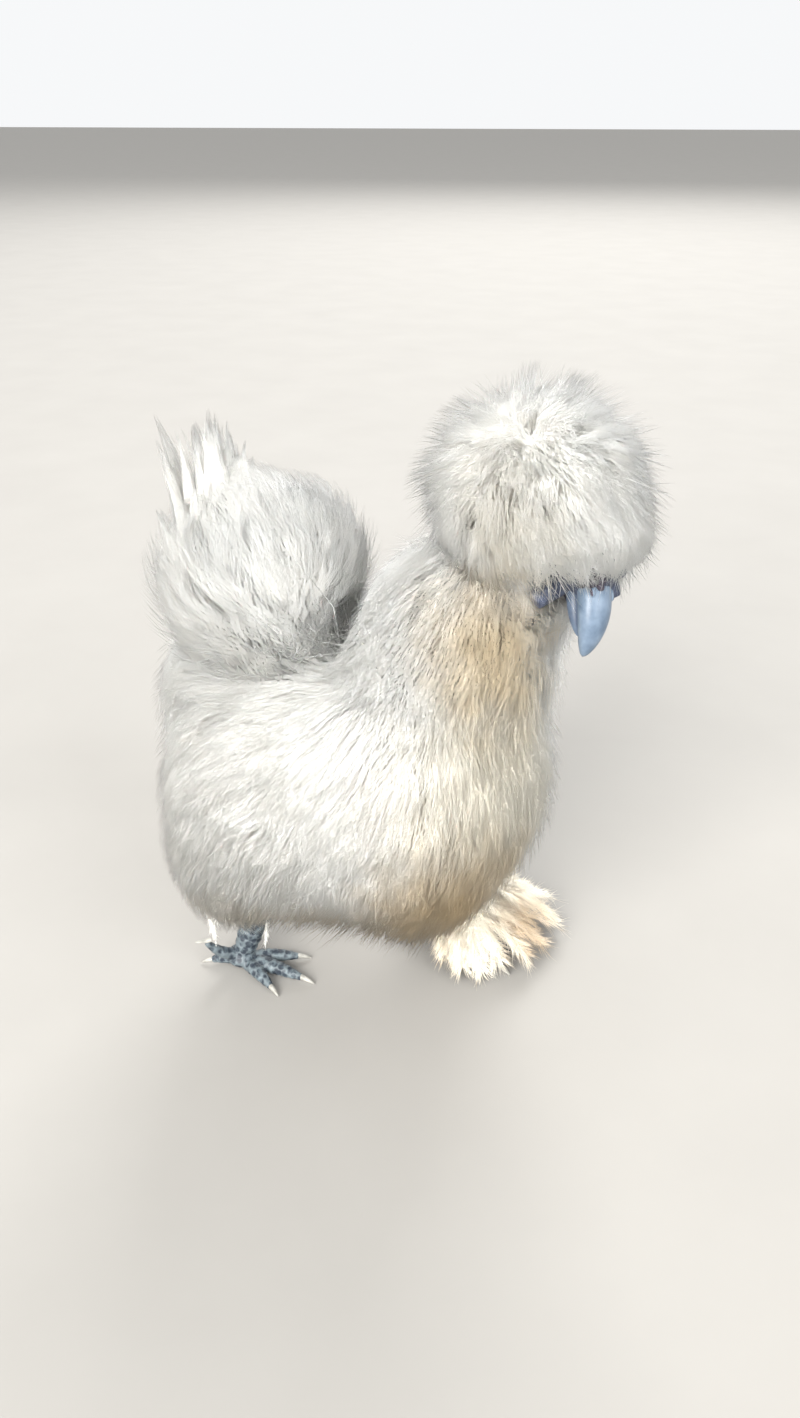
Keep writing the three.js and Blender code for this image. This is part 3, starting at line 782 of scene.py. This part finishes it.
def strand_mesh(name, lines, outward, half, root_uv, tone, soft):
    """A mesh of tapered three-sided strands. lines is (strands, stations, 3); the last station is the
    tip. outward is the side of the strand that faces away from the skin."""
    count, stations = lines.shape[:2]
    rings = stations - 1
    lines = lines.copy()
    lines[..., 2] = np.maximum(lines[..., 2], FLOOR_CLEAR)
    ahead = unit(np.gradient(lines, axis=1))
    across = unit(np.cross(outward[:, None, :], ahead))
    rise = np.cross(ahead, across)
    way = np.linspace(0, 1, stations)
    width = half[:, None] * (1 - way[None, :] ** 1.6) * (0.75 + 0.5 * np.sin(np.pi * way[None, :]))
    turn = np.pi / 2 + 2 * np.pi * np.arange(SECTION) / SECTION
    points = (
        lines[:, :rings, None, :]
        + across[:, :rings, None, :] * (width[:, :rings, None] * np.cos(turn))[..., None]
        + rise[:, :rings, None, :] * (FLATNESS * width[:, :rings, None] * np.sin(turn))[..., None]
    )
    per = rings * SECTION + 1
    verts = np.concatenate([points.reshape(count, rings * SECTION, 3), lines[:, -1:, :]], axis=1)
    faces = strand_faces(rings)
    corners = np.array([v for face in faces for v in face])
    sizes = np.array([len(face) for face in faces])
    loops = (corners[None, :] + per * np.arange(count)[:, None]).ravel()
    totals = np.tile(sizes, count)
    mesh = bpy.data.meshes.new(name)
    mesh.vertices.add(count * per)
    mesh.vertices.foreach_set("co", ((verts.reshape(-1, 3) + np.array(SHIFT)) * MM).ravel())
    mesh.loops.add(len(loops))
    mesh.loops.foreach_set("vertex_index", loops)
    mesh.polygons.add(len(totals))
    mesh.polygons.foreach_set("loop_start", np.concatenate([[0], np.cumsum(totals)[:-1]]))
    mesh.polygons.foreach_set("loop_total", totals)
    mesh.update()
    along = np.concatenate([np.repeat(way[:rings], SECTION), [1]])
    side = np.concatenate([np.tile(np.arange(SECTION) / SECTION, rings), [0.5]])
    uv = root_uv[:, None, :] + UV_PATCH * np.stack([side, along], -1)[None]
    uv_map = mesh.uv_layers.new(name="OFBake")
    uv_map.data.foreach_set("uv", uv.reshape(-1, 2)[loops].ravel())
    for label, values in (("along", np.tile(along, count)), ("tone", np.repeat(tone, per))):
        mesh.attributes.new(label, "FLOAT", "POINT").data.foreach_set("value", values)
    mesh.shade_smooth()
    middle = lines[:, np.minimum(np.arange(per) // SECTION, rings)].reshape(-1, 3)
    bulge = unit(verts.reshape(-1, 3) - middle)
    bulge[per - 1 :: per] = 0
    share = np.repeat(soft, per)[:, None]
    facing = unit(share * np.repeat(outward, per, 0) + (1 - share) * bulge)
    mesh.normals_split_custom_set_from_vertices(facing)
    mesh.materials.append(PLUMAGE)
    return mesh


def toned(groups, rank, draw):
    """A tone for each strand of the tufts or feathers."""
    return draw.uniform(0, 1, groups)[rank] * TUFT_TONE + draw.uniform(0, 1 - TUFT_TONE, len(rank))


ROOT_TRIES = 60000
TRIED_AT = 0.6  # the share of the coat above the surface on which roots are spread
AIMED_AT = 0.5  # and above the surface on which the strands are aimed


def spread_roots(part, spacing, draw, bare):
    """Roots at least the spacing apart all over the skin of a part, but for its bare places."""
    polar = np.arccos(draw.uniform(-1, 1, ROOT_TRIES))
    around = draw.uniform(0, 2 * math.pi, ROOT_TRIES)
    on_skin = np.full(ROOT_TRIES, TRIED_AT)
    away, beside = part.slopes(polar, around, on_skin)
    area = np.linalg.norm(np.cross(away, beside), axis=1) / np.maximum(np.sin(polar), 0.02)
    places = part.at(polar, around, on_skin)
    kept = (draw.uniform(0, np.percentile(area, 99), ROOT_TRIES) < area) & ~bare(places)
    polar, around, places = polar[kept], around[kept], places[kept]
    chosen = np.zeros((0, 3))
    picks = []
    for i, place in enumerate(places):
        if not len(chosen) or ((chosen - place) ** 2).sum(1).min() > spacing**2:
            chosen = np.vstack([chosen, place])
            picks.append(i)
    return polar[picks], around[picks]


def laid_over(lines, share, neighbours):
    """Lifts the stations of strands that run into a neighbour out on to its coat."""
    for other in neighbours:
        rays = lines - other.middle
        far = np.linalg.norm(rays, axis=-1)
        rays = rays / far[..., None]
        surface = other.reach(rays, share)
        inside = far < surface
        inside[:, 0] = False
        lines[inside] = other.middle + rays[inside] * surface[inside][:, None]
    return lines


TUFT_STRANDS = 30
TUFT_LENGTHS = (0.75, 1.2)
STRAND_LENGTHS = (0.65, 1.05)
STRAY_SHARE = 0.12  # of the strands stand off
WHORL_REACH = 0.25  # radians from the source within which tufts turn every way
# Strands hang below this height, in full so far below it, and less so behind this place along the body
HANG_FROM = 92
HANG_BAND = 34
HANG_REAR = -30
HANG_BAND_AHEAD = 50
HANG_LEAST = 0.3
HANG_DROP = 0.75


def tuft_lines(part, polar, around, draw, manner):
    """The strands of tufts. Each tuft is a fan of strands that rises from the skin through the coat and
    lies along the part away from its source."""
    tufts = len(polar)
    rank = np.repeat(np.arange(tufts), TUFT_STRANDS)
    count = len(rank)
    ways = np.linspace(0, 1, manner["stations"])[None, :]
    length = manner["length"] * draw.uniform(*TUFT_LENGTHS, tufts)
    whorl = manner.get("whorl", 0) * np.exp(-polar / WHORL_REACH)
    turn = draw.normal(0, 1, tufts) * (manner["loose"] + whorl)
    top = draw.uniform(*manner["top"], tufts)
    aimed = np.full(tufts, AIMED_AT)
    root_at = part.at(polar, around, aimed)
    away, beside = (unit(slope) for slope in part.slopes(polar, around, aimed))
    place = draw.uniform(-1, 1, count)
    reach = length[rank] * draw.uniform(*STRAND_LENGTHS, count) * (1 - 0.3 * place**2)
    heading = turn[rank] + draw.normal(0, 0.12, count)
    root = draw.normal(0, 1.1, (count, 2))
    bend = draw.normal(0, 0.9, (count, 2))
    open_ = (1.5 + manner["fan"] * ways**0.8) * (1 - manner["point"] * ways**2)
    spread = place[:, None] * open_
    forwards = reach[:, None] * ways**1.15
    south = forwards * np.cos(heading)[:, None] - spread * np.sin(turn[rank])[:, None]
    south = south + root[:, :1] + bend[:, :1] * np.sin(math.pi * ways)
    east = forwards * np.sin(heading)[:, None] + spread * np.cos(turn[rank])[:, None]
    east = east + root[:, 1:] + bend[:, 1:] * np.sin(math.pi * ways)
    low = np.clip((HANG_FROM - root_at[:, 2]) / HANG_BAND, 0, 1)
    ahead = np.clip((root_at[:, 0] - HANG_REAR) / HANG_BAND_AHEAD, 0, 1)
    hang = (manner.get("hang", 0) * low * (HANG_LEAST + (1 - HANG_LEAST) * ahead))[rank][:, None]
    aim = (
        root_at[rank][:, None]
        + away[rank][:, None] * (south * (1 - hang))[..., None]
        + beside[rank][:, None] * east[..., None]
    )
    high = top[rank] + draw.normal(0, 0.05, count) - 0.12 * place**2
    stand = manner.get("stand", 0)
    rise = (1 - stand) * np.sin(math.pi * ways / 2) ** manner["rise"] + stand * ways
    share = SKIN_AT - (high[:, None] + SLACK) * rise
    towards, lowest, highest, most = manner.get("flick", ((0, 0, 1), 0, 1, 0))
    far = (root_at - part.middle) @ np.array(towards)
    flick = most * np.clip((far - lowest) / (highest - lowest), 0, 1) * draw.uniform(0, 1, tufts) ** 2
    stray = (draw.random(count) < STRAY_SHARE) * draw.uniform(0.1, 0.6, count)
    share = np.maximum(share - (flick[rank] + stray)[:, None] * ways**2, -manner["proud"])
    rays = unit(aim - part.middle)
    lines = part.middle + rays * part.reach(rays, share)[..., None]
    lines[..., 2] -= hang * forwards * HANG_DROP
    lines = laid_over(lines, share, manner.get("over", ()))
    outward = unit(lines[:, 1] - part.middle)
    uv = np.stack([(around / (2 * math.pi)) % 1, polar / math.pi], -1) * 0.99
    tone = toned(tufts, rank, draw)
    return lines, outward, uv[rank], tone, np.full(count, LYING)


def row_of_roots(count, high):
    """The places of single feathers on the unwrap of the skin, in one row."""
    return np.stack([np.linspace(0.02, 0.97, count), np.full(count, high)], -1)


def on_quills(guides, rank, ways):
    """Points at the ways along the quills, and the last station before each."""
    last = guides.shape[1] - 1
    low = np.minimum((ways * last).astype(int), last - 1)
    part = (ways * last - low)[..., None]
    return guides[rank, low] * (1 - part) + guides[rank, low + 1] * part, low


def square_to(ahead, up):
    """The upward side, turned square to the way ahead."""
    return unit(up - ahead * (up * ahead).sum(1, keepdims=True))


def wisp_lines(guides, ups, width, draw, row, strands):
    """The strands of soft pointed feathers. They run along each guide, part in its middle and meet again
    at its tip."""
    guides, ups, width = (np.array(part) for part in (guides, ups, width))
    feathers = len(guides)
    rank = np.repeat(np.arange(feathers), strands)
    count = len(rank)
    start = draw.uniform(0.0, 0.5, count)
    end = np.minimum(start + draw.uniform(0.4, 0.7, count), 1)
    ways = start[:, None] + (end - start)[:, None] * np.linspace(0, 1, FEATHER_STATIONS)[None, :]
    base, _ = on_quills(guides, rank[:, None], ways)
    ahead = unit(guides[rank, -1] - guides[rank, 0])
    up = square_to(ahead, ups[rank])
    side = np.cross(up, ahead)
    place = draw.uniform(-1, 1, count)
    open_ = width[rank][:, None] * np.sin(math.pi * (0.2 + 0.76 * ways))
    lift = draw.normal(0, 0.25, count)[:, None] * open_
    lines = base + side[:, None] * (place[:, None] * open_)[..., None] + up[:, None] * lift[..., None]
    tone = toned(feathers, rank, draw)
    uv = row_of_roots(feathers, row)
    return lines, unit(up + np.array([0, 0, 0.3])), uv[rank], tone, np.full(count, FREE)


def plume_lines(guides, ups, width, draw, row, barbs, sweep):
    """The barbs of loose feathers. A guide is the path of a quill, and barbs grow from both its sides
    and sweep towards its tip."""
    guides, ups, width = (np.array(part) for part in (guides, ups, width))
    feathers = len(guides)
    rank = np.repeat(np.arange(feathers), barbs)
    count = len(rank)
    start = draw.uniform(0.0, 0.97, count)
    hand = draw.choice([-1.0, 1.0], count)
    base, low = on_quills(guides, rank, start)
    ahead = unit(guides[rank, low + 1] - guides[rank, low])
    up = square_to(ahead, ups[rank])
    side = np.cross(up, ahead) * hand[:, None]
    wide = width[rank] * np.sin(math.pi * (0.22 + 0.58 * start)) * draw.uniform(0.3, 1.1, count)
    run = width[rank] * sweep * draw.uniform(0.7, 1.2, count) * (1 - 0.45 * start)
    lift = draw.normal(0, 0.22, count) * width[rank]
    ways = np.linspace(0, 1, FEATHER_STATIONS)[None, :, None]
    lines = (
        base[:, None]
        + side[:, None] * wide[:, None, None] * ways**0.8
        + ahead[:, None] * run[:, None, None] * ways
        + up[:, None] * lift[:, None, None] * ways**1.5
    )
    tone = toned(feathers, rank, draw)
    uv = row_of_roots(feathers, row)
    return lines, unit(up + np.array([0, 0, 0.9])), uv[rank], tone, np.full(count, FREE)


def coat_piece(name, sheaves, half, pieces, nodes, draw):
    """A coat out of one or more sheaves of strands, dealt out to pieces that lie through each other."""
    lines, outward, uv, tone, soft = (np.concatenate(part) for part in zip(*sheaves))
    clear = ~enters_face(lines)
    lines, outward, uv, tone, soft = (part[clear] for part in (lines, outward, uv, tone, soft))
    widths = half * draw.uniform(0.7, 1.2, len(lines))
    for i in range(pieces):
        own = slice(i, None, pieces)
        label = name if pieces == 1 else f"{name}_{i + 1}"
        mesh = strand_mesh(label, lines[own], outward[own], widths[own], uv[own], tone[own], soft[own])
        register(label, mesh, "plumage", *nodes)


def local_to_head(places):
    """Points of the bird, in the frame of its head."""
    back = HEAD.inverted()
    return places @ np.array(back.to_3x3()).T + np.array(back.translation)


# Where the face stays bare: round the beak, and along the right cheek
FACE_WINDOWS = (
    ((17, 0, -4), (15, 12, 12)),
    ((19.5, -13, -1), (4.5, 13, 12)),
)


def enters_face(lines):
    """Which strands would cover the bare face."""
    places = local_to_head(lines[:, 1:])
    inside = [(((places - np.array(at)) / np.array(radii)) ** 2).sum(-1) < 1 for at, radii in FACE_WINDOWS]
    return np.any(inside, axis=0).any(-1)


PARTING = -2.6  # where the crest parts above the beak, across the head
PARTING_AT = (11, 15)
PARTING_SIZE = (7, 9)
PARTING_HALF = 2.6


def parted(lines):
    """Combs the strands over the beak to the two sides of a narrow parting."""
    places = local_to_head(lines)
    far = ((places[..., 0] - PARTING_AT[0]) / PARTING_SIZE[0]) ** 2
    far = far + ((places[..., 2] - PARTING_AT[1]) / PARTING_SIZE[1]) ** 2
    half = PARTING_HALF * np.exp(-far)
    off = places[..., 1] - PARTING
    moved = np.sign(off) * np.sqrt(off**2 + half**2) - off
    return lines + moved[..., None] * np.array(HEAD.to_3x3().col[1])


FACE_FROM = 2  # along the head
FACE_BELOW = 6  # and up it


def bare_of_crest(places):
    """Where no root of the crest grows: under the neck's coat and on the face."""
    on_head = local_to_head(places)
    on_face = (on_head[:, 0] > FACE_FROM) & (on_head[:, 2] < FACE_BELOW)
    return body.holds(places, share=0.9) | on_face


def bare_of_body(places):
    """Where no root of the body grows: under the coats of crest and tail."""
    return crest.holds(places, share=0.9) | tail.holds(places, share=1.0)


def bare_of_tail(places):
    """Where no root of the tail grows: under the body's coat."""
    return body.holds(places, share=0.95)


# Tiers of soft feathers round the line of the tail: how many, their length, how far from the line they
# start, how far they lean out from it in degrees, and the height they start at
TIERS = (
    (6, 60, 2, 1, 227),
    (12, 63, 7, -3, 226),
    (18, 54, 14, -7, 224),
    (24, 42, 19, -4, 219),
    (24, 34, 24, 2, 212),
)
TAIL_LINE = (-0.06, 0, 1)
TAIL_FOOT = (-47, 0, 0)
# The feathers at the rear of one tier, counted from 0, lean back by up to so many degrees more
LEANING_TIER = 2
LEAN_BACK = 22


def tail_wisps(draw):
    """Soft feathers that stand up out of the cushion in tiers and close to a spire."""
    axis = np.array(Vector(TAIL_LINE).normalized())
    way = np.linspace(0, 1, QUILL_STATIONS)
    guides, ups, widths = [], [], []
    for tier, (count, length, gap, tilt, start) in enumerate(TIERS):
        for i in range(count):
            around = 2 * math.pi * (i + tier / 2) / count + draw.normal(0, 0.2)
            side = np.array([math.cos(around), math.sin(around), 0])
            run = length * draw.uniform(0.8, 1.04) * way
            back = LEAN_BACK * max(0, -math.cos(around)) ** 4 * draw.uniform(0, 1)
            lean = math.radians(tilt + back * (tier == LEANING_TIER))
            lean = lean + (0.1 + draw.normal(0, 0.06)) * way**2
            root = np.array(TAIL_FOOT) + axis * (start + draw.uniform(-6, 8))
            out = side * (gap + run * np.sin(lean))[:, None]
            guides.append(root + out + axis * (run * np.cos(lean))[:, None])
            ups.append(side)
            widths.append(draw.uniform(3.2, 5))
    return wisp_lines(guides, ups, widths, draw, row=0.97, strands=70)


BOOT_TURNS = range(-78, 114, 4)  # degrees outwards from the middle toe


def boot_length(turn):
    """Longest towards the front of the outer side, and short enough there to stay beside the body."""
    return min(58 + 0.4 * turn, 55 / math.sin(math.radians(max(turn + 4, 50))))


def boot_plumes(draw):
    """Feathers that fan from the outer side of the left shank and fall to just above the floor."""
    way = np.linspace(0, 1, QUILL_STATIONS)[:, None]
    bottom, top = np.array([0, 0, 5]), np.array(HOCKS["left"])
    turning = np.array(LEGS["left"].to_3x3())
    place = np.array(LEGS["left"].translation)
    guides, ups, widths = [], [], []
    for i, turn in enumerate(BOOT_TURNS):
        angle = math.radians(turn)
        out = np.array([math.cos(angle), math.sin(angle), 0])
        root = bottom + (top - bottom) * (0.2 + 0.13 * (i % 4))
        length = boot_length(turn) * draw.uniform(0.9, 1.05) - 6
        arch = draw.uniform(4, 13) * np.sin(math.pi * way) - (root[2] - draw.uniform(5, 12)) * way**2.2
        guide = root + out * length * way + np.array([0, 0, 1]) * arch
        guides.append(guide @ turning.T + place)
        ups.append(turning @ unit(np.array([0, 0, 1]) + 0.4 * out))
        widths.append(draw.uniform(9, 12))
    return plume_lines(guides, ups, widths, draw, row=0.5, barbs=230, sweep=1.6)


# How a coat grows, from random draws with a seed: its tufts stand a spacing apart, and it is dealt out to
# so many pieces. A strand has half a width and so many stations. A tuft has a length, half a width at its
# tips (fan) that closes again by a share (point), and a heading that strays (loose), most near the source
# (whorl). Its tips reach a share of the coat's depth (top), by a curve (rise) and in part evenly (stand).
# Tips flick out towards a side, from and up to a distance from the middle, but pass the outline by no
# more than proud. Low strands hang, and strands lie over other parts.
COATS = {
    "crest": {
        "seed": 101, "spacing": 3.5, "pieces": 5, "half": 0.24,
        "stations": 3, "length": 21, "fan": 4.5, "point": 0.5, "loose": 0.35, "whorl": 0.6,
        "top": (0.8, 1.05), "rise": 0.8, "stand": 0.7, "proud": 0.5,
        "flick": ((-0.6, 0, 0.8), 22, 44, 1.2),
    },
    "tail": {
        "seed": 104, "spacing": 4.8, "pieces": 3, "half": 0.26,
        "stations": 4, "length": 34, "fan": 5, "point": 0.85, "loose": 0.22,
        "top": (0.8, 1.02), "rise": 0.9, "proud": 0.38, "flick": ((0, 0, 1), -10, 40, 0.7),
    },
    "body": {
        "seed": 103, "spacing": 4.6, "pieces": 4, "half": 0.26,
        "stations": 3, "length": 40, "fan": 6.5, "point": 0.6, "loose": 0.22,
        "top": (0.7, 1.05), "rise": 0.9, "proud": 0.3, "hang": 0.7, "over": (tail,),
        "flick": ((-0.9, 0, -0.3), 55, 115, 0.9),
    },
}


def grow(name, part, bare, nodes, comb=None, feathers=None):
    """A coat of tufts over a part, combed, and with single feathers in it, where it has any."""
    manner = COATS[name]
    draw = np.random.default_rng(manner["seed"])
    polar, around = spread_roots(part, manner["spacing"], draw, bare)
    lines, *rest = tuft_lines(part, polar, around, draw, manner)
    sheaves = [(comb(lines) if comb else lines, *rest)]
    if feathers:
        sheaves.append(feathers(draw))
    coat_piece(f"coat_{name}", sheaves, manner["half"], manner["pieces"], nodes, draw)


# The locks that hang beside the right shank: place from the foot, and how far down they reach
SHANK_LOCKS = (
    ((-10, -4), 17),
    ((-8, -8), 20),
    ((-12, 1), 22),
    ((10, 5), 19),
    ((12, 1), 17),
    ((9, 9), 22),
)
LOCK_TOP = 62
LOCK_WIDTH = 5


def shank_locks(draw):
    """Soft locks that hang from the thigh on both sides of the right shank."""
    way = np.linspace(0, 1, QUILL_STATIONS)[:, None]
    foot = np.array(FEET["right"])
    guides, ups = [], []
    for place, low in SHANK_LOCKS:
        side = np.array(Vector((*place, 0)).normalized())
        top = np.array([*(foot + np.array(place) * 0.9), LOCK_TOP])
        end = np.array([*(foot + np.array(place) * 1.2), low])
        guides.append(top + (end - top) * way + side * 2.5 * np.sin(math.pi * way))
        ups.append(side)
    widths = [LOCK_WIDTH] * len(guides)
    return plume_lines(guides, ups, widths, draw, row=0.93, barbs=90, sweep=2.4)


# The feathered boot of the left shank, and the locks beside the right one: seed and feathers
BOOTS = {"left": (131, boot_plumes), "right": (132, shank_locks)}
BARB_HALF = 0.28  # half the width of a barb

grow("crest", crest, bare_of_crest, ["crest"], comb=parted)
grow("tail", tail, bare_of_tail, ["tail"], feathers=tail_wisps)
grow("body", body, bare_of_body, list(BODY_FORMS))
for side, (seed, feathers) in BOOTS.items():
    draw = np.random.default_rng(seed)
    coat_piece(f"boot_{side}", [feathers(draw)], BARB_HALF, 1, [f"shank_{side}"], draw)

# Camera, light and floor

FOCAL = 1040  # pixels of the photograph
PHOTO_HEIGHT = 1418
LOOK_DOWN = math.radians(29.7)
CAMERA_HEIGHT = 395
CAMERA_TURN = math.radians(-19)
RIGHT_OF_CAMERA = -21
AHEAD_OF_CAMERA = 423.5
SENSOR = 36


def make_camera():
    """The camera of the photograph."""
    right = Vector((math.cos(CAMERA_TURN), -math.sin(CAMERA_TURN), 0))
    depth = Vector((math.sin(CAMERA_TURN), math.cos(CAMERA_TURN), 0))
    up = Vector((0, 0, 1))
    place = -RIGHT_OF_CAMERA * right - AHEAD_OF_CAMERA * depth + CAMERA_HEIGHT * up
    forward = math.cos(LOOK_DOWN) * depth - math.sin(LOOK_DOWN) * up
    over = math.sin(LOOK_DOWN) * depth + math.cos(LOOK_DOWN) * up
    data = bpy.data.cameras.new("camera")
    data.lens = SENSOR * FOCAL / PHOTO_HEIGHT
    data.sensor_width = SENSOR
    data.clip_start = 0.01
    camera = shown("camera", data)
    axes = Matrix((right, over, -forward)).transposed().to_4x4()
    camera.matrix_world = Matrix.Translation((place + SHIFT) * MM) @ axes
    bpy.context.scene.camera = camera


LIGHTS_AIM = (0, 0, 0.14)
FLOOR_REACH = 40  # metres to each side


def make_light(name, place, size, power, colour=(1, 1, 1)):
    """A soft square light, in metres, that looks at the bird."""
    data = bpy.data.lights.new(name, "AREA")
    data.size = size
    data.energy = power
    data.color = colour
    light = shown(name, data)
    aim = Vector(LIGHTS_AIM) - Vector(place)
    light.matrix_world = Matrix.Translation(place) @ aim.to_track_quat("-Z", "Y").to_matrix().to_4x4()


def make_floor():
    """A pale floor, far wider than the view."""
    bm = bmesh.new()
    bmesh.ops.create_grid(bm, x_segments=2, y_segments=2, size=FLOOR_REACH)
    mesh = mesh_of("floor", bm)
    pale = Finish("pale_floor", Roughness=0.85)
    shade = pale.mix(pale.noise(9, detail=4), to_linear(156, 153, 148), to_linear(164, 161, 156))
    pale.link(shade, "Base Color")
    mesh.materials.append(pale.material)
    mesh.shade_smooth()
    floor = shown("floor", mesh)


make_camera()
make_floor()
make_light("key", place=(-0.9, -4.8, 3.0), size=3.0, power=510, colour=(1, 0.985, 0.96))
make_light("fill", place=(4.5, -2.4, 3.0), size=3.5, power=200, colour=(0.96, 0.98, 1))
make_light("back", place=(-0.6, 4.6, 4.0), size=3.0, power=300)
world = bpy.context.scene.world or bpy.data.worlds.new("world")
bpy.context.scene.world = world
world.use_nodes = True
sky = world.node_tree.nodes["Background"].inputs
sky["Color"].default_value = (0.93, 0.94, 0.95, 1)
sky["Strength"].default_value = 1.0
bpy.context.scene.view_settings.view_transform = "Standard"
